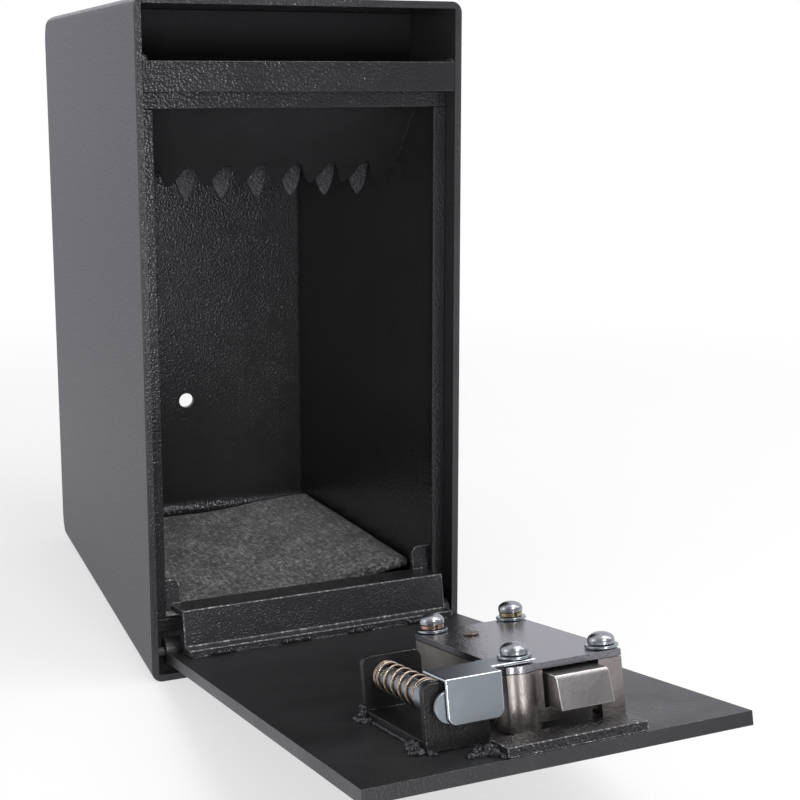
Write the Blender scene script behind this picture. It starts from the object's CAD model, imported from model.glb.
"""Drop safe with a bottom-hinged door: materials, welds, felt, spring, light and camera.

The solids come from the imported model, and nothing here moves them. Sizes are in
millimetres in the cabinet's frame (x from the left outer face, y from the front plane
into the safe, z from the underside), and point() turns them into the model's frame.
"""
import math
import random

import bpy
from mathutils import Matrix, Vector, noise

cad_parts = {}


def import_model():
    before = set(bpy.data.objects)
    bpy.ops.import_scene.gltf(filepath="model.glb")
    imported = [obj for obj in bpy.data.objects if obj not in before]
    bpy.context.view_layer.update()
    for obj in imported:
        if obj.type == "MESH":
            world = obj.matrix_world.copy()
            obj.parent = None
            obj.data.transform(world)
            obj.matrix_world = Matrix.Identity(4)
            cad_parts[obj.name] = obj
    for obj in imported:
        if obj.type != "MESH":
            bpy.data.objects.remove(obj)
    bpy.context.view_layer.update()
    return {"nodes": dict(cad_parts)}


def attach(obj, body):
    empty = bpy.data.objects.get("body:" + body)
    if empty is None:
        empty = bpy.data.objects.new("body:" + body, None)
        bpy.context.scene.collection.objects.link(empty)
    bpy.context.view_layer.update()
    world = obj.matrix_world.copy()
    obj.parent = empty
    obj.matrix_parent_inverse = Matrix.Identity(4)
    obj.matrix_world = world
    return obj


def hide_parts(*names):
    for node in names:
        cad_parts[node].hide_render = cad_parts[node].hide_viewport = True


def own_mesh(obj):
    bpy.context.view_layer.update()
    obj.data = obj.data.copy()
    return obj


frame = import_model()
nodes = frame["nodes"]

CABINET_WIDTH = 152.4
CABINET_DEPTH = 228.6
PLATE = 3.2
INNER_RIGHT = CABINET_WIDTH - PLATE
HINGE_Y = 6
HINGE_Z = 12
OPEN_TILT = math.radians(12)


def point(x, y, z):
    """Point of the cabinet, in the model's frame."""
    return Vector((x - CABINET_WIDTH / 2, y - CABINET_DEPTH / 2, z)) / 1000


def on_door(x, reach, rise):
    """Point at a reach from the hinge axis and a rise square to the door."""
    y = HINGE_Y - reach * math.cos(OPEN_TILT) + rise * math.sin(OPEN_TILT)
    z = HINGE_Z + reach * math.sin(OPEN_TILT) + rise * math.cos(OPEN_TILT)
    return point(x, y, z)


# ---------------------------------------------------------------- camera

LENS = 63.72
SENSOR_WIDTH = 36
SHIFT_X, SHIFT_Y = 0.02303, -0.1162
CLIP_NEAR, CLIP_FAR = 0.01, 50
CAMERA_AT = (-0.21019, -0.71394, 0.26959)
RIGHT = Vector((0.924934, -0.380125, -0.001284))
DOWN = Vector((-0.061474, -0.146245, -0.987336))
FORWARD = Vector((0.375124, 0.9133, -0.158635))

camera_data = bpy.data.cameras.new("camera")
camera_data.lens = LENS
camera_data.sensor_width = SENSOR_WIDTH
camera_data.shift_x = SHIFT_X
camera_data.shift_y = SHIFT_Y
camera_data.clip_start = CLIP_NEAR
camera_data.clip_end = CLIP_FAR
camera = bpy.data.objects.new("camera", camera_data)
bpy.context.scene.collection.objects.link(camera)
turn = Matrix((RIGHT, -DOWN, -FORWARD)).transposed()
camera.matrix_world = Matrix.Translation(CAMERA_AT) @ turn.to_4x4()
bpy.context.scene.camera = camera


# ---------------------------------------------------------------- materials

class Shader:
    """One procedural material on object coordinates, in metres."""

    def __init__(self, name):
        self.material = bpy.data.materials.new(name)
        self.material.use_nodes = True
        self.tree = self.material.node_tree
        self.shader = self.tree.nodes["Principled BSDF"]
        self.place = self.add("ShaderNodeTexCoord").outputs["Object"]

    def add(self, kind, **values):
        node = self.tree.nodes.new(kind)
        for key, value in values.items():
            setattr(node, key, value)
        return node

    def join(self, source, socket):
        self.tree.links.new(source, socket)

    def set(self, **values):
        for key, value in values.items():
            self.shader.inputs[key.replace("_", " ")].default_value = value

    def stretched(self, scale=(1, 1, 1), rotation=(0, 0, 0)):
        mapping = self.add("ShaderNodeMapping")
        mapping.inputs["Scale"].default_value = scale
        mapping.inputs["Rotation"].default_value = rotation
        self.join(self.place, mapping.inputs["Vector"])
        return mapping.outputs["Vector"]

    def noise(self, size, detail=2.0, rough=0.5, distortion=0.0, where=None):
        """Noise with blotches about size millimetres across."""
        node = self.add("ShaderNodeTexNoise")
        node.inputs["Scale"].default_value = 1000 / size
        node.inputs["Detail"].default_value = detail
        node.inputs["Roughness"].default_value = rough
        node.inputs["Distortion"].default_value = distortion
        self.join(where or self.place, node.inputs["Vector"])
        return node.outputs["Fac"]

    def ramp(self, source, *stops):
        """Colour ramp from (place, colour or grey) stops."""
        node = self.add("ShaderNodeValToRGB")
        ramp = node.color_ramp
        while len(ramp.elements) < len(stops):
            ramp.elements.new(0.5)
        for element, (place, colour) in zip(ramp.elements, stops):
            element.position = place
            grey = (colour,) * 3 if isinstance(colour, (int, float)) else colour
            element.color = (*grey, 1)
        self.join(source, node.inputs["Fac"])
        return node.outputs["Color"]

    def span(self, source, low, high, to_low=0.0, to_high=1.0):
        """Source mapped from one range to another, and held at its ends."""
        node = self.add("ShaderNodeMapRange")
        node.inputs["From Min"].default_value = low
        node.inputs["From Max"].default_value = high
        node.inputs["To Min"].default_value = to_low
        node.inputs["To Max"].default_value = to_high
        self.join(source, node.inputs["Value"])
        return node.outputs["Result"]

    def maths(self, operation, a, b):
        node = self.add("ShaderNodeMath", operation=operation)
        for value, socket in ((a, node.inputs[0]), (b, node.inputs[1])):
            if isinstance(value, (int, float)):
                socket.default_value = value
            else:
                self.join(value, socket)
        return node.outputs["Value"]

    def mix(self, factor, a, b):
        """Colour a where the factor is 0, and b where it is 1."""
        node = self.add("ShaderNodeMix", data_type="RGBA")
        self.join(factor, node.inputs[0])
        for value, socket in ((a, node.inputs[6]), (b, node.inputs[7])):
            if isinstance(value, tuple):
                socket.default_value = (*value, 1)
            else:
                self.join(value, socket)
        return node.outputs[2]

    def along(self, axis):
        node = self.add("ShaderNodeSeparateXYZ")
        self.join(self.place, node.inputs["Vector"])
        return node.outputs[axis]

    def bump(self, height, depth, strength=1.0, below=None):
        """Bump of a depth in millimetres, over another bump if one is given."""
        node = self.add("ShaderNodeBump")
        node.inputs["Distance"].default_value = depth / 1000
        if isinstance(strength, (int, float)):
            node.inputs["Strength"].default_value = strength
        else:
            self.join(strength, node.inputs["Strength"])
        self.join(height, node.inputs["Height"])
        if below is not None:
            self.join(below, node.inputs["Normal"])
        return node.outputs["Normal"]

    def finish(self, colour, rough, normal=None):
        self.join(colour, self.shader.inputs["Base Color"])
        self.join(rough, self.shader.inputs["Roughness"])
        if normal is not None:
            self.join(normal, self.shader.inputs["Normal"])
        return self.material


def shade(colour, share):
    """Colour made darker or lighter by a share."""
    return tuple(min(1.0, c * share) for c in colour)


# Past OUTSIDE_X metres from the middle, a face is on the cabinet's outer side. The grain's
# second, finer noise is a share of the first in size and depth.
OUTSIDE_X = 0.0755
OUTSIDE_ROUGHER = 0.22
SHADE_HALF_BAND = 0.006
SHADED_DEPTH = 0.08
SHADED_TONE = 0.2
SHADED_ROUGHER = 0.35
FINE_GRAIN = 0.4
FINE_DEPTH = 0.12


def textured_paint(name, colour, grain, depth, rough, side_depth=None, dark_above=None):
    """Black powder coat with a hammered grain of glossy round bumps.

    With side_depth, the cabinet's outer sides get that depth of grain and are duller.
    With dark_above, in metres, the sheet is smooth and dark above that height, where it
    hangs behind the shelf.
    """
    s = Shader(name)
    s.set(Specular_IOR_Level=0.5, Metallic=0.0, Specular_Tint=(0.94, 0.94, 1.0, 1.0))
    wide = s.noise(grain * 14, 2, 0.6)
    bumps = s.noise(grain, 1.0, 0.45)
    fine = s.noise(grain * FINE_GRAIN, 1, 0.6)
    strength = s.span(wide, 0.35, 0.6, 0.6, 1.0)
    if dark_above is not None:
        high = s.span(s.along("Z"), dark_above - SHADE_HALF_BAND, dark_above + SHADE_HALF_BAND)
        strength = s.maths("MULTIPLY", strength, s.span(high, 0, 1, 1.0, SHADED_DEPTH))
    rougher = s.span(bumps, 0.35, 0.65, rough + 0.05, rough - 0.05)
    if side_depth is not None:
        inside = s.maths("LESS_THAN", s.maths("ABSOLUTE", s.along("X"), 0.0), OUTSIDE_X)
        strength = s.maths("MULTIPLY", strength, s.span(inside, 0, 1, side_depth / depth, 1.0))
        rougher = s.maths("ADD", rougher, s.span(inside, 0, 1, OUTSIDE_ROUGHER, 0.0))
    normal = s.bump(bumps, depth, strength)
    normal = s.bump(fine, depth * FINE_DEPTH, strength, normal)
    tone = s.ramp(wide, (0.32, shade(colour, 0.93)), (0.68, shade(colour, 1.08)))
    if dark_above is not None:
        tone = s.mix(high, tone, shade(colour, SHADED_TONE))
        rougher = s.maths("ADD", rougher, s.maths("MULTIPLY", high, SHADED_ROUGHER))
    return s.finish(tone, rougher, normal)


# Sizes of the satin paint's three noises, in millimetres
PATCH_SIZE = 38
PEEL_SIZE = 1.6
DUST_SIZE = 0.85


def satin_paint(name, colour, rough, depth, dust_share=0.9, gloss=0.5):
    """Smooth black paint with orange peel, fine dust and faint rubbed patches."""
    s = Shader(name)
    s.set(Specular_IOR_Level=gloss, Metallic=0.0)
    wide = s.noise(PATCH_SIZE, 4, 0.62, 0.4)
    peel = s.noise(PEEL_SIZE, 3, 0.6)
    dust = s.noise(DUST_SIZE, 1, 0.6)
    normal = s.bump(peel, depth)
    normal = s.bump(dust, depth * dust_share, 1.0, normal)
    tone = s.ramp(wide, (0.3, shade(colour, 0.8)), (0.72, shade(colour, 1.25)))
    worn = s.maths("ADD", wide, s.maths("MULTIPLY", dust, 0.4))
    rougher = s.span(worn, 0.4, 1.0, rough - 0.07, rough + 0.1)
    return s.finish(tone, rougher, normal)


def rubbed_edge():
    """Edge of the door's plates: paint with bright dots where it is rubbed."""
    s = Shader("rubbed_edge")
    s.set(Specular_IOR_Level=0.6)
    dot_size, dot_depth = 1.3, 0.15
    paint, thin_paint, bare = (0.022, 0.022, 0.023), (0.09, 0.09, 0.094), (0.3, 0.3, 0.31)
    dots = s.noise(dot_size, 2, 0.6, 0.3)
    tone = s.ramp(dots, (0.46, paint), (0.56, thin_paint), (0.66, bare))
    return s.finish(tone, s.span(dots, 0.4, 0.65, 0.34, 0.22), s.bump(dots, dot_depth))


# Size of a casting's grain, in millimetres
CAST_GRAIN = 1.4


def metal(name, colour, rough, spread, grain, depth, blotch, tint, cast=0.0):
    """Plated metal: patchy tone, a fine surface, and the grain of a casting under it."""
    s = Shader(name)
    s.set(Metallic=1.0)
    wide = s.noise(blotch, 4, 0.6, 0.5)
    fine = s.noise(grain, 3, 0.65)
    tone = s.ramp(wide, (0.3, shade(colour, 1 - tint)), (0.7, shade(colour, 1 + tint)))
    patches = s.maths("ADD", s.maths("MULTIPLY", wide, 0.6), s.maths("MULTIPLY", fine, 0.4))
    rougher = s.span(patches, 0.35, 0.65, rough - spread, rough + spread)
    normal = s.bump(fine, depth)
    if cast:
        normal = s.bump(s.noise(CAST_GRAIN, 2, 0.55, 0.4), cast, 1.0, normal)
    return s.finish(tone, rougher, normal)


def felt_material():
    """Grey needled felt: pale and dark fibres that lie every way."""
    s = Shader("felt_fibres")
    s.set(Specular_IOR_Level=0.15, Sheen_Weight=0.3, Sheen_Roughness=0.6)
    fibre_angles = (0.2, 0.95, 1.75, 2.5)
    fibre_stretch = (1, 0.14, 1)
    depth = 0.7
    layers = []
    for k, angle in enumerate(fibre_angles):
        where = s.stretched(fibre_stretch, (0.1 * k, 0.05, angle))
        layers.append(s.noise(1.0 + 0.12 * k, 2, 0.55, 0.6, where))
    fibres = layers[0]
    for layer in layers[1:]:
        fibres = s.maths("MAXIMUM", fibres, layer)
    tufts = s.noise(2.4, 3, 0.7, 0.9)
    wide = s.noise(16, 3, 0.5)
    height = s.maths("ADD", s.maths("MULTIPLY", fibres, 0.5), s.maths("MULTIPLY", tufts, 0.5))
    mixed = s.maths("ADD", height, s.maths("MULTIPLY", s.maths("SUBTRACT", wide, 0.5), 0.2))
    tone = s.ramp(mixed, (0.47, (0.022, 0.022, 0.023)), (0.54, (0.12, 0.12, 0.123)),
                  (0.6, (0.26, 0.26, 0.266)), (0.67, (0.6, 0.6, 0.61)))
    rough = s.span(tufts, 0.3, 0.7, 0.85, 1.0)
    return s.finish(tone, rough, s.bump(height, depth))


# Textured paint: name, colour, grain and its depth in mm, roughness
HAMMERED = textured_paint("hammered_black", (0.0235, 0.0235, 0.0245), 1.12, 0.34, 0.16,
                          side_depth=0.03)
HAMMERED_FRONT = textured_paint("hammered_front", (0.0125, 0.0125, 0.013), 1.12, 0.27, 0.14)
HAMMERED_INSIDE = textured_paint("hammered_inside", (0.017, 0.017, 0.018), 1.1, 0.22, 0.34)
HANGING_PAINT = textured_paint("hanging_sheet_black", (0.03, 0.03, 0.032), 1.2, 1.0, 0.26,
                               dark_above=0.262)
DOOR_PAINT = satin_paint("door_black", (0.0155, 0.0155, 0.0165), 0.34, 0.12)
BRACKET_PAINT = satin_paint("bracket_black", (0.0095, 0.0095, 0.0102), 0.36, 0.14, 1.2, 0.34)
SANDY_PAINT = textured_paint("sandy_black", (0.019, 0.019, 0.0204), 0.9, 0.5, 0.22)
WORN_EDGE = rubbed_edge()
WELD_PAINT = textured_paint("weld_black", (0.013, 0.013, 0.0138), 1.0, 0.3, 0.12)
BAR_PAINT = textured_paint("bar_black", (0.008, 0.008, 0.0086), 1.0, 0.55, 0.17)

# Metal: name, colour, roughness and its spread, grain and its depth in mm, size of the
# patches in mm, their share of the tone, and the depth of the cast grain in mm
NICKEL = metal("cast_nickel", (0.405, 0.371, 0.35), 0.36, 0.05, 0.7, 0.02, 14, 0.12, 0.1)
NICKEL_RIM = metal("nickel_rim", (0.86, 0.82, 0.79), 0.36, 0.06, 0.8, 0.03, 2.5, 0.15)
COVER = metal("cover_nickel", (0.34, 0.332, 0.352), 0.25, 0.03, 0.7, 0.03, 20, 0.08, 0.09)
POST_END = metal("post_end", (0.3, 0.24, 0.2), 0.36, 0.06, 0.5, 0.012, 1.6, 0.2)
BOLT_METAL = metal("bolt_nickel", (0.325, 0.308, 0.304), 0.36, 0.03, 0.7, 0.03, 12, 0.05, 0.05)
ZINC = metal("zinc_blue", (0.34, 0.368, 0.396), 0.35, 0.02, 0.5, 0.006, 14, 0.03)
ZINC_RIM = metal("zinc_rim", (0.72, 0.76, 0.79), 0.22, 0.05, 0.4, 0.008, 5, 0.08)
STEEL = metal("screw_steel", (0.43, 0.445, 0.465), 0.28, 0.05, 0.6, 0.016, 3, 0.1)
WASHER = metal("washer_zinc", (0.42, 0.46, 0.49), 0.26, 0.07, 0.4, 0.01, 3, 0.12)
COPPER = metal("split_copper", (0.5, 0.33, 0.245), 0.3, 0.06, 0.3, 0.008, 1.5, 0.25)
BRASS = metal("split_brass", (0.5, 0.42, 0.26), 0.3, 0.06, 0.3, 0.008, 1.5, 0.2)
WIRE = metal("spring_wire", (0.42, 0.345, 0.275), 0.28, 0.06, 0.5, 0.006, 3, 0.18)
FELT = felt_material()


# ---------------------------------------------------------------- solids

# Edges shallower than SMOOTH_BELOW are shaded smooth, those sharper than ROUND_ABOVE are
# rounded, and faces flat within FLAT_WITHIN become one. JOIN_WITHIN is in metres.
SMOOTH_BELOW = math.radians(35)
ROUND_ABOVE = math.radians(40)
FLAT_WITHIN = math.radians(0.5)
JOIN_WITHIN = 2e-6


def weld_group():
    """Geometry nodes that join a solid's loose faces and shade its shallow edges smooth."""
    tree = bpy.data.node_groups.new("joined_faces", "GeometryNodeTree")
    tree.interface.new_socket("Geometry", in_out="INPUT", socket_type="NodeSocketGeometry")
    tree.interface.new_socket("Geometry", in_out="OUTPUT", socket_type="NodeSocketGeometry")
    start = tree.nodes.new("NodeGroupInput")
    end = tree.nodes.new("NodeGroupOutput")
    clear = tree.nodes.new("GeometryNodeRemoveAttribute")
    clear.inputs["Name"].default_value = "custom_normal"
    merge = tree.nodes.new("GeometryNodeMergeByDistance")
    merge.inputs["Distance"].default_value = JOIN_WITHIN
    smooth = tree.nodes.new("GeometryNodeSetShadeSmooth")
    smooth.domain = "FACE"
    sharp = tree.nodes.new("GeometryNodeSetShadeSmooth")
    sharp.domain = "EDGE"
    angle = tree.nodes.new("GeometryNodeInputMeshEdgeAngle")
    over = tree.nodes.new("FunctionNodeCompare")
    over.data_type = "FLOAT"
    over.operation = "GREATER_THAN"
    over.inputs[1].default_value = SMOOTH_BELOW
    sharp.inputs["Shade Smooth"].default_value = False
    link = tree.links.new
    link(start.outputs[0], clear.inputs["Geometry"])
    link(clear.outputs["Geometry"], merge.inputs["Geometry"])
    link(merge.outputs["Geometry"], smooth.inputs["Geometry"])
    link(smooth.outputs["Geometry"], sharp.inputs["Geometry"])
    link(angle.outputs["Unsigned Angle"], over.inputs[0])
    link(over.outputs["Result"], sharp.inputs["Selection"])
    link(sharp.outputs["Geometry"], end.inputs[0])
    return tree


JOINED = weld_group()


def dress(name, material, edge=None, width=0.3, segments=2, clamp=True):
    """Gives a solid its material and rounds its edges, by a width in mm.

    The rounded edges get a second material if one is given. Without clamp, the rounding
    keeps its width on thin sheet.
    """
    obj = nodes[name]
    obj.data.materials.clear()
    obj.data.materials.append(material)
    obj.data.materials.append(edge or material)
    joined = obj.modifiers.new("joined", "NODES")
    joined.node_group = JOINED
    flat = obj.modifiers.new("flat_faces", "DECIMATE")
    flat.decimate_type = "DISSOLVE"
    flat.angle_limit = FLAT_WITHIN
    round_off = obj.modifiers.new("rounded_edges", "BEVEL")
    round_off.width = width / 1000
    round_off.segments = segments
    round_off.limit_method = "ANGLE"
    round_off.angle_limit = ROUND_ABOVE
    round_off.miter_outer = "MITER_ARC"
    round_off.use_clamp_overlap = clamp
    round_off.harden_normals = False
    round_off.material = 1 if edge else -1
    shading = obj.modifiers.new("face_normals", "WEIGHTED_NORMAL")
    shading.weight = 80
    shading.keep_sharp = False


for name in ("side_plate_left", "side_plate_right", "body_wrapper"):
    dress(name, HAMMERED, width=0.5, segments=3)
for name in ("header_lip", "jamb_strip_left", "jamb_strip_right", "jamb_strip_top",
             "threshold_strip"):
    dress(name, HAMMERED_FRONT, width=0.5, segments=3)
dress("front_baffle", HAMMERED_INSIDE, width=0.35)
dress("rear_baffle", HANGING_PAINT, width=0.35)
for name in ("hinge_pin_left", "hinge_pin_right", "hinge_spacer"):
    dress(name, DOOR_PAINT, width=0.3)
dress("door_plate", DOOR_PAINT, WORN_EDGE, 0.3)
dress("hook_channel", SANDY_PAINT, WORN_EDGE, 0.6, 3)
dress("edge_bar", BAR_PAINT, WORN_EDGE, 0.35)
dress("relocker_bracket", BRACKET_PAINT, WORN_EDGE, 0.3)
dress("lock_case", NICKEL, NICKEL_RIM, 0.3)
dress("lock_cover", COVER, NICKEL_RIM, 0.3)
dress("lock_bolt", BOLT_METAL, NICKEL_RIM, 0.3)
dress("bolt_stump", BRASS, width=0.2)
dress("relocker_plate", ZINC, ZINC_RIM, 0.5, 3, clamp=False)
dress("relocker_plunger", ZINC, width=0.5, segments=3)
dress("relocker_collar", ZINC, width=0.5, segments=3)
dress("key_plug", BRASS, width=0.2)
dress("key_escutcheon", NICKEL, NICKEL_RIM, 0.3)
dress("lever_post", POST_END, width=0.15)
dress("lever_spring", WIRE, width=0.1)
for k in (1, 2, 3, 4):
    dress(f"lever_{k}", BRASS, width=0.15)
    dress(f"lock_screw_{k}", STEEL, width=0.2)
    dress(f"flat_washer_{k}", WASHER, width=0.2)
dress("spring_washer_1", COPPER, width=0.2)
dress("spring_washer_2", BRASS, width=0.2)


# ---------------------------------------------------------------- new pieces

def piece(name, points, faces, material, body):
    """Mesh from points in metres, riding on a body."""
    mesh = bpy.data.meshes.new(name)
    mesh.from_pydata([tuple(p) for p in points], [], faces)
    mesh.validate()
    mesh.shade_smooth()
    mesh.materials.append(material)
    obj = bpy.data.objects.new(name, mesh)
    bpy.context.scene.collection.objects.link(obj)
    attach(obj, body)
    return obj


def tube(path, radius_at, sides):
    """Points and faces of a closed tube along a path, with radius_at(k, angle) in metres."""
    points = []
    faces = []
    last = len(path) - 1
    side = None
    for k, at in enumerate(path):
        tangent = (path[min(k + 1, last)] - path[max(k - 1, 0)]).normalized()
        if side is None:
            side = tangent.orthogonal().normalized()
        side = (side - tangent * side.dot(tangent)).normalized()
        other = tangent.cross(side)
        for s in range(sides):
            angle = 2 * math.pi * s / sides
            reach = radius_at(k, angle)
            points.append(at + (side * math.cos(angle) + other * math.sin(angle)) * reach)
    for k in range(last):
        for s in range(sides):
            t = (s + 1) % sides
            faces.append((k * sides + s, k * sides + t, (k + 1) * sides + t, (k + 1) * sides + s))
    faces.append(tuple(reversed(range(sides))))
    faces.append(tuple(last * sides + s for s in range(sides)))
    return points, faces


# A bead has a ring of points every BEAD_STEP metres, and thins out over BEAD_TAPER rings at
# its ends. Noise scales are per metre.
BEAD_STEP = 0.25 / 1000
BEAD_SIDES = 14
BEAD_TAPER = 6
WANDER_DETAIL, WANDER_SHARE = 350, 0.00022
SKIN_DETAIL, SKIN_REACH = 900, 1.7


def bead(name, ends, radius, body, seed, ripple, rough, material=WELD_PAINT):
    """Weld bead between two or more points: overlapping ripples with ragged sides.

    The radius and the length of a ripple are in mm, and rough is the share by which the
    radius varies.
    """
    path = []
    for a, b in zip(ends, ends[1:]):
        count = max(2, int((b - a).length / BEAD_STEP))
        path += [a.lerp(b, i / count) for i in range(count)]
    path.append(ends[-1])
    shift = Vector((seed, 0, 0))
    wander = [noise.noise_vector(p * WANDER_DETAIL + shift) * radius * WANDER_SHARE for p in path]
    path = [p + w for p, w in zip(path, wander)]
    last = len(path) - 1

    def radius_at(k, angle):
        wave = abs(math.sin(math.pi * k * BEAD_STEP * 1000 / ripple))
        ends_in = min(1.0, (k + 1) / BEAD_TAPER, (last - k + 1) / BEAD_TAPER)
        around = Vector((seed, SKIN_REACH * math.cos(angle), SKIN_REACH * math.sin(angle)))
        uneven = 1 + rough * noise.noise(path[k] * SKIN_DETAIL + around)
        return radius / 1000 * (0.72 + 0.28 * wave) * uneven * math.sqrt(max(0.02, ends_in))

    points, faces = tube(path, radius_at, BEAD_SIDES)
    piece(name, points, faces, material, body)


# A drop is a ball of rings and sides. The skin over the drops has a voxel size in metres,
# and is pushed in and out by PUSH millimetres.
DROP_RINGS, DROP_SIDES = 8, 12
DROP_BULGE, DROP_DETAIL = 0.3, 1.6
VOXEL = 0.32 / 1000
PUSH, PUSH_DETAIL = 0.24, 520


def drop_meshes(blobs, seed):
    """Points and faces of uneven drops, one for each (centre, radius in mm)."""
    rng = random.Random(seed)
    points = []
    faces = []
    rings, sides = DROP_RINGS, DROP_SIDES
    for centre, radius in blobs:
        start = len(points)
        squeeze = Vector((rng.uniform(0.8, 1.3), rng.uniform(0.8, 1.3), rng.uniform(0.7, 1.0)))
        for r in range(rings + 1):
            lat = math.pi * r / rings
            for s in range(sides):
                lon = 2 * math.pi * s / sides
                flat = math.sin(lat)
                d = Vector((flat * math.cos(lon), flat * math.sin(lon), math.cos(lat)))
                shift = Vector((seed + start, 0, 0))
                bulge = 1 + DROP_BULGE * noise.noise(d * DROP_DETAIL + shift)
                reach = Vector(a * b for a, b in zip(d, squeeze))
                points.append(centre + reach * radius / 1000 * bulge)
        for r in range(rings):
            for s in range(sides):
                t = (s + 1) % sides
                a, b = start + r * sides, start + (r + 1) * sides
                faces.append((a + s, b + s, b + t, a + t))
    return points, faces


def lump(name, blobs, seed):
    """Weld spatter on the door: drops fused into one melted skin."""
    points, faces = drop_meshes(blobs, seed)
    mesh = bpy.data.meshes.new(name + "_drops")
    mesh.from_pydata([tuple(p) for p in points], [], faces)
    drops = bpy.data.objects.new(name + "_drops", mesh)
    bpy.context.scene.collection.objects.link(drops)
    fuse = drops.modifiers.new("fused", "REMESH")
    fuse.mode = "VOXEL"
    fuse.voxel_size = VOXEL
    melt = drops.modifiers.new("melted", "SMOOTH")
    melt.factor = 0.6
    melt.iterations = 7
    bpy.context.view_layer.update()
    evaluated = drops.evaluated_get(bpy.context.evaluated_depsgraph_get())
    fused = bpy.data.meshes.new_from_object(evaluated)
    points = []
    for v in fused.vertices:
        push = noise.noise(v.co * PUSH_DETAIL + Vector((seed, 0, 0))) * PUSH / 1000
        points.append(v.co + v.normal * push)
    faces = [tuple(p.vertices) for p in fused.polygons]
    bpy.data.objects.remove(drops)
    piece(name, points, faces, WELD_PAINT, "door")


# Welds on the door: stitches along the hook channel's foot, drops round the bracket, and
# the ragged end of the flat bar
HOOK_FOOT_REACH = 28.4
for k, (x0, x1) in enumerate(((21, 33), (54, 69), (86, 99), (116, 127))):
    ends = [on_door(x0, HOOK_FOOT_REACH, 1.2), on_door(x1, HOOK_FOOT_REACH, 1.2)]
    bead(f"hook_stitch_{k + 1}", ends, 1.5, "door", 11 + k, 1.8, 0.5)
bead("hook_foot_seam", [on_door(13, HOOK_FOOT_REACH, 0.4), on_door(138, HOOK_FOOT_REACH, 0.4)],
     0.55, "door", 19, 2.6, 0.6)
BRACKET_LEFT = 37.4
BRACKET_BACK, BRACKET_FRONT = 175.5, 231.0
lump("bracket_weld_back", [
    (on_door(BRACKET_LEFT - 0.6, BRACKET_BACK + 2.5, 1.6), 2.5),
    (on_door(BRACKET_LEFT - 2.4, BRACKET_BACK + 4.6, 0.9), 2.0),
    (on_door(BRACKET_LEFT - 0.4, BRACKET_BACK + 1.2, 4.4), 1.7),
    (on_door(BRACKET_LEFT - 3.2, BRACKET_BACK + 1.4, 0.8), 1.6),
    (on_door(BRACKET_LEFT - 1.0, BRACKET_BACK + 8.0, 1.0), 1.8),
], 3)
lump("bracket_weld_front", [
    (on_door(BRACKET_LEFT - 1.4, BRACKET_FRONT - 9.0, 1.2), 2.6),
    (on_door(BRACKET_LEFT - 3.0, BRACKET_FRONT - 6.0, 0.9), 2.1),
    (on_door(BRACKET_LEFT - 0.6, BRACKET_FRONT - 5.2, 2.2), 1.9),
    (on_door(BRACKET_LEFT - 1.8, BRACKET_FRONT - 1.6, 0.9), 2.2),
    (on_door(BRACKET_LEFT + 1.6, BRACKET_FRONT + 1.0, 0.9), 1.9),
    (on_door(BRACKET_LEFT - 4.6, BRACKET_FRONT - 2.6, 0.6), 1.3),
], 7)
bead("bracket_weld_side", [
    on_door(BRACKET_LEFT - 0.2, BRACKET_BACK + 6, 0.8),
    on_door(BRACKET_LEFT - 0.2, BRACKET_FRONT - 8, 0.8),
], 0.8, "door", 21, 1.1, 0.4)
BAR_LEFT = 55.5
BAR_FRONT_REACH = 251.1
lump("bar_weld_left", [
    (on_door(BAR_LEFT - 8.4, 242.8, 0.5), 1.7),
    (on_door(BAR_LEFT - 6.2, 240.6, 0.8), 1.9),
    (on_door(BAR_LEFT - 5.0, 243.4, 0.6), 1.9),
    (on_door(BAR_LEFT - 3.4, 238.2, 1.0), 2.1),
    (on_door(BAR_LEFT - 1.8, 241.6, 1.1), 2.3),
    (on_door(BAR_LEFT - 0.8, 245.4, 0.9), 2.0),
    (on_door(BAR_LEFT + 0.6, 238.6, 1.6), 2.3),
    (on_door(BAR_LEFT + 4.0, 239.0, 2.0), 2.1),
    (on_door(BAR_LEFT + 7.6, 239.4, 2.2), 1.6),
    (on_door(BAR_LEFT + 1.2, 243.4, 2.2), 1.7),
    (on_door(BAR_LEFT - 0.4, 249.0, 0.8), 1.5),
], 17)
bead("bar_weld_front", [
    on_door(BAR_LEFT + 2, BAR_FRONT_REACH, 0.6), on_door(104.8, BAR_FRONT_REACH, 0.6),
], 0.55, "door", 31, 1.5, 0.45)

# Welds on the cabinet: corner of the deposit slot, seam of the back corner, chute edge
SHELF_Z = 277.6
INNER_BACK = CABINET_DEPTH - PLATE
bead("slot_corner_weld", [
    point(PLATE + 0.6, 1.2, SHELF_Z + 0.2),
    point(PLATE + 0.2, 10, SHELF_Z + 0.1),
    point(PLATE + 0.2, 28, SHELF_Z),
], 2.9, "cabinet", 41, 4.5, 0.1, HAMMERED)
bead("slot_corner_weld_right", [
    point(INNER_RIGHT - 0.4, 1.2, SHELF_Z + 0.1), point(INNER_RIGHT - 0.2, 28, SHELF_Z),
], 1.5, "cabinet", 42, 3.0, 0.25, HAMMERED)
bead("back_corner_seam", [
    point(INNER_RIGHT, INNER_BACK, 20), point(INNER_RIGHT, INNER_BACK, 286),
], 0.75, "cabinet", 43, 2.4, 0.7, HAMMERED_INSIDE)
bead("chute_edge_weld", [
    point(INNER_RIGHT, 32.5, 272.5), point(INNER_RIGHT, 68.5, 230),
], 0.8, "cabinet", 44, 2.0, 0.5, HAMMERED_INSIDE)


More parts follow.
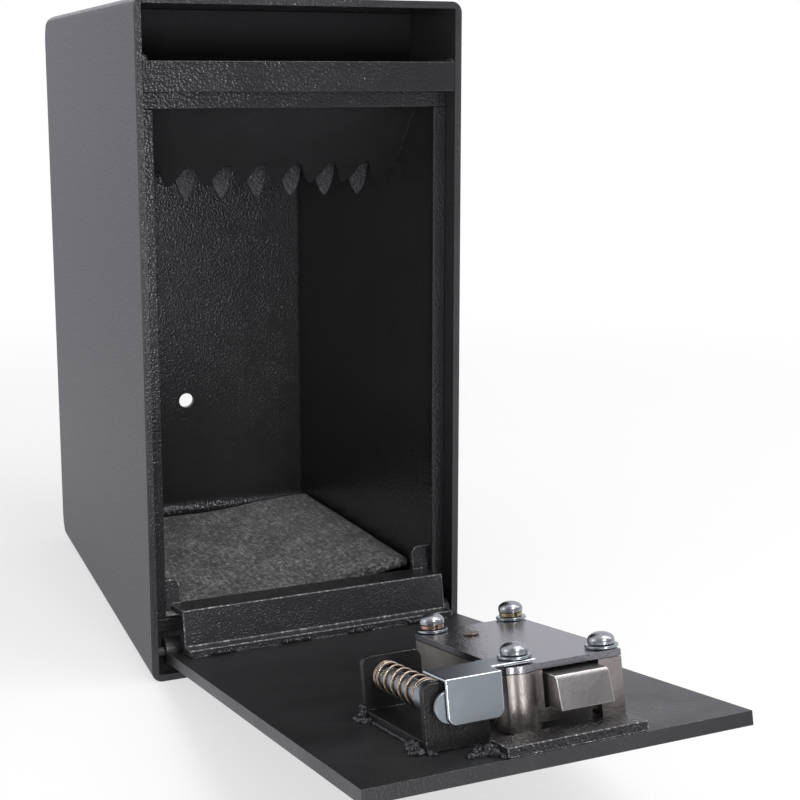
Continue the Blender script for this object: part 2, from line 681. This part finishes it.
def spring():
    """Smooth coil in the place of the solid one, which shortens as the plunger is pressed."""
    reach0, reach1 = 178.8, 216.5
    axis_x, axis_rise = 45.8, 14.5
    coil_radius, wire_radius, wire_sides = 5.0, 0.52, 12
    back_close, front_close, end_pitch = 2.3, 1.2, 1.15
    turns, steps = 8.7, 30
    start, stop = reach0 + wire_radius, reach1 - wire_radius
    open_turns = turns - back_close - front_close
    open_pitch = (stop - start - (back_close + front_close) * end_pitch) / open_turns
    path = []
    for i in range(int(turns * steps) + 1):
        t = i / steps
        if t < back_close:
            reach = start + t * end_pitch
        elif t > turns - front_close:
            reach = stop - (turns - t) * end_pitch
        else:
            reach = start + back_close * end_pitch + (t - back_close) * open_pitch
        angle = 2 * math.pi * t
        across = axis_x + coil_radius * math.cos(angle)
        path.append(on_door(across, reach, axis_rise + coil_radius * math.sin(angle)))
    points, faces = tube(path, lambda k, a: wire_radius / 1000, wire_sides)
    obj = piece("coil_spring", points, faces, WIRE, "door")
    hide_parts("relocker_spring")
    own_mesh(obj)


spring()


def felt_pad():
    """Loose thick felt: soft rounded edges, curled up at the right and the front."""
    x0, x1 = 4.2, 148.2
    y0, y1 = 51.4, 212.2
    bottom, thick = 3.5, 6.2
    curl_from, curl_front, curl_back = 75, 14, 4.8
    pinch_width, pinch_share = 1.6, 0.35
    swells = ((17, 0.5, 0), (4.5, 0.28, 9))
    wave_size, wave_height = 6, 0.5
    across, deep = 72, 78

    def lift(x, y):
        side = min(1, max(0, (x - curl_from) / (x1 - curl_from)))
        side = side * side * (3 - 2 * side)
        depth = (y - y0) / (y1 - y0)
        return (curl_front + (curl_back - curl_front) * depth) * side

    def top_swell(x, y):
        return sum(noise.noise(Vector((x, y, z)) / size) * height for size, height, z in swells)

    points = []
    faces = []
    grid = []
    half = thick / 2
    for j in range(deep + 1):
        for i in range(across + 1):
            x = x0 + (x1 - x0) * i / across
            y = y0 + (y1 - y0) * j / deep
            grid.append((x, y))
    count = len(grid)
    for top in (False, True):
        for x, y in grid:
            rim = min(x - x0, x1 - x, y - y0, y1 - y)
            pinch = 1 - (1 - min(1, rim / pinch_width)) ** 2 * pinch_share
            middle = bottom + half + lift(x, y)
            if top:
                z = middle + half * pinch + min(0.0, top_swell(x, y))
            else:
                z = middle - half * pinch
            at_edge = rim < 0.01
            place = Vector((x / wave_size, y / wave_size, 3))
            wave = noise.noise(place) * wave_height if at_edge else 0
            wavy_x = x - wave if x > curl_from else x + abs(wave)
            wavy_y = y + (abs(wave) if y < 100 else -abs(wave))
            points.append(point(wavy_x, wavy_y, z))
    for j in range(deep):
        for i in range(across):
            a = j * (across + 1) + i
            b, c, d = a + 1, a + across + 2, a + across + 1
            faces.append((count + a, count + b, count + c, count + d))
            faces.append((a, d, c, b))
    border = list(range(across + 1))
    border += [j * (across + 1) + across for j in range(1, deep + 1)]
    border += [deep * (across + 1) + i for i in range(across - 1, -1, -1)]
    border += [j * (across + 1) for j in range(deep - 1, 0, -1)]
    for a, b in zip(border, border[1:] + border[:1]):
        faces.append((a, b, count + b, count + a))
    obj = piece("felt_pad", points, faces, FELT, "cabinet")
    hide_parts("floor_felt")
    soft = obj.modifiers.new("soft", "SUBSURF")
    soft.levels = soft.render_levels = 1


felt_pad()


# ---------------------------------------------------------------- floor, light and background

WHITE = (1.0, 1.0, 1.0)
COOL_WHITE = (0.925, 0.93, 1.0)
FLOOR_GLOSSY_LEVEL = 0.74


def floor():
    """Pale floor that keeps the object's shadow near it and fades to white around it."""
    mesh = bpy.data.meshes.new("floor")
    r = 4.0
    fade_from, fade_to, fade_near = 0.3, 0.9, 0.6
    mesh.from_pydata([(-r, -r, 0), (r, -r, 0), (r, r, 0), (-r, r, 0)], [], [(0, 1, 2, 3)])
    obj = bpy.data.objects.new("floor", mesh)
    bpy.context.scene.collection.objects.link(obj)
    s = Shader("pale_floor")
    s.shader.inputs["Base Color"].default_value = (0.86, 0.86, 0.86, 1)
    s.set(Roughness=0.9, Specular_IOR_Level=0.1)
    out = s.tree.nodes["Material Output"]
    glow = s.add("ShaderNodeEmission")
    away = s.add("ShaderNodeVectorMath", operation="LENGTH")
    s.join(s.place, away.inputs[0])
    fade = s.span(away.outputs["Value"], fade_from, fade_to, fade_near, 1.0)
    path = s.add("ShaderNodeLightPath")
    blend = s.add("ShaderNodeMixShader")
    is_glossy = path.outputs["Is Glossy Ray"]
    s.join(s.span(is_glossy, 0, 1, 1.0, FLOOR_GLOSSY_LEVEL), glow.inputs["Strength"])
    s.join(s.mix(is_glossy, WHITE, COOL_WHITE), glow.inputs["Color"])
    shown = s.maths("MAXIMUM", path.outputs["Is Camera Ray"], is_glossy)
    shown = s.maths("MAXIMUM", shown, path.outputs["Is Transmission Ray"])
    s.join(s.maths("MULTIPLY", fade, shown), blend.inputs[0])
    s.join(s.shader.outputs[0], blend.inputs[1])
    s.join(glow.outputs[0], blend.inputs[2])
    s.join(blend.outputs[0], out.inputs["Surface"])
    mesh.materials.append(s.material)


# The studio's level for diffuse rays, and for reflections in front of the object and
# behind it, blended between two places along y
STUDIO_DIFFUSE = 0.6
STUDIO_FRONT_Y, STUDIO_FRONT_LEVEL = -0.45, 0.28
STUDIO_BACK_Y, STUDIO_BACK_LEVEL = 0.25, 0.8


def world():
    """White backdrop behind the object, and a dimmer studio in front of it for reflections."""
    made = bpy.data.worlds.new("studio")
    bpy.context.scene.world = made
    made.use_nodes = True
    tree = made.node_tree
    back = tree.nodes["Background"]

    def value(operation, a, b):
        node = tree.nodes.new("ShaderNodeMath")
        node.operation = operation
        for given, socket in ((a, node.inputs[0]), (b, node.inputs[1])):
            if isinstance(given, (int, float)):
                socket.default_value = given
            else:
                tree.links.new(given, socket)
        return node.outputs[0]

    path = tree.nodes.new("ShaderNodeLightPath")
    place = tree.nodes.new("ShaderNodeTexCoord")
    split = tree.nodes.new("ShaderNodeSeparateXYZ")
    tree.links.new(place.outputs["Generated"], split.inputs[0])
    ramp = tree.nodes.new("ShaderNodeMapRange")
    ramp.interpolation_type = "SMOOTHSTEP"
    ramp.inputs["From Min"].default_value = STUDIO_FRONT_Y
    ramp.inputs["From Max"].default_value = STUDIO_BACK_Y
    ramp.inputs["To Min"].default_value = STUDIO_FRONT_LEVEL
    ramp.inputs["To Max"].default_value = STUDIO_BACK_LEVEL
    tree.links.new(split.outputs["Y"], ramp.inputs["Value"])
    is_glossy = path.outputs["Is Glossy Ray"]
    shown = value("MAXIMUM", path.outputs["Is Camera Ray"], path.outputs["Is Transmission Ray"])
    glossy = value("MULTIPLY", is_glossy, value("SUBTRACT", ramp.outputs[0], STUDIO_DIFFUSE))
    backdrop = value("MULTIPLY", shown, 1 - STUDIO_DIFFUSE)
    level = value("ADD", value("ADD", glossy, STUDIO_DIFFUSE), backdrop)
    tree.links.new(level, back.inputs["Strength"])
    tone = tree.nodes.new("ShaderNodeMix")
    tone.data_type = "RGBA"
    tree.links.new(is_glossy, tone.inputs[0])
    tone.inputs[6].default_value = (*WHITE, 1)
    tone.inputs[7].default_value = (*COOL_WHITE, 1)
    tree.links.new(tone.outputs[2], back.inputs["Color"])


DEFAULT_AIM = (0, -0.05, 0.15)


def lamp(name, at, size, power, aim=DEFAULT_AIM):
    """Area lamp in metres and watts, turned to a point of the object."""
    data = bpy.data.lights.new(name, "AREA")
    data.shape = "RECTANGLE"
    data.size, data.size_y = size
    data.energy = power
    obj = bpy.data.objects.new(name, data)
    bpy.context.scene.collection.objects.link(obj)
    away = Vector(at) - Vector(aim)
    obj.matrix_world = Matrix.Translation(at) @ away.to_track_quat("Z", "Y").to_matrix().to_4x4()
    return obj


floor()
world()
lamp("key", (0.1, -1.4, 1.05), (0.3, 0.3), 7)
lamp("inside", (0.02, -1.7, 0.06), (0.25, 0.25), 3, (-0.03, 0.1, 0.18))
inside_soft = lamp("inside_soft", (-0.55, -1.7, 0.3), (0.5, 0.5), 16)
inside_soft.visible_glossy = False
lamp("side", (-1.6, 0.1, 0.6), (0.8, 1.0), 3.4)
lamp("fill", (1.3, -0.7, 1.0), (0.6, 0.6), 3)
lamp("top", (0.5, -0.5, 1.5), (0.9, 0.9), 9)

scene = bpy.context.scene
scene.view_settings.view_transform = "Standard"
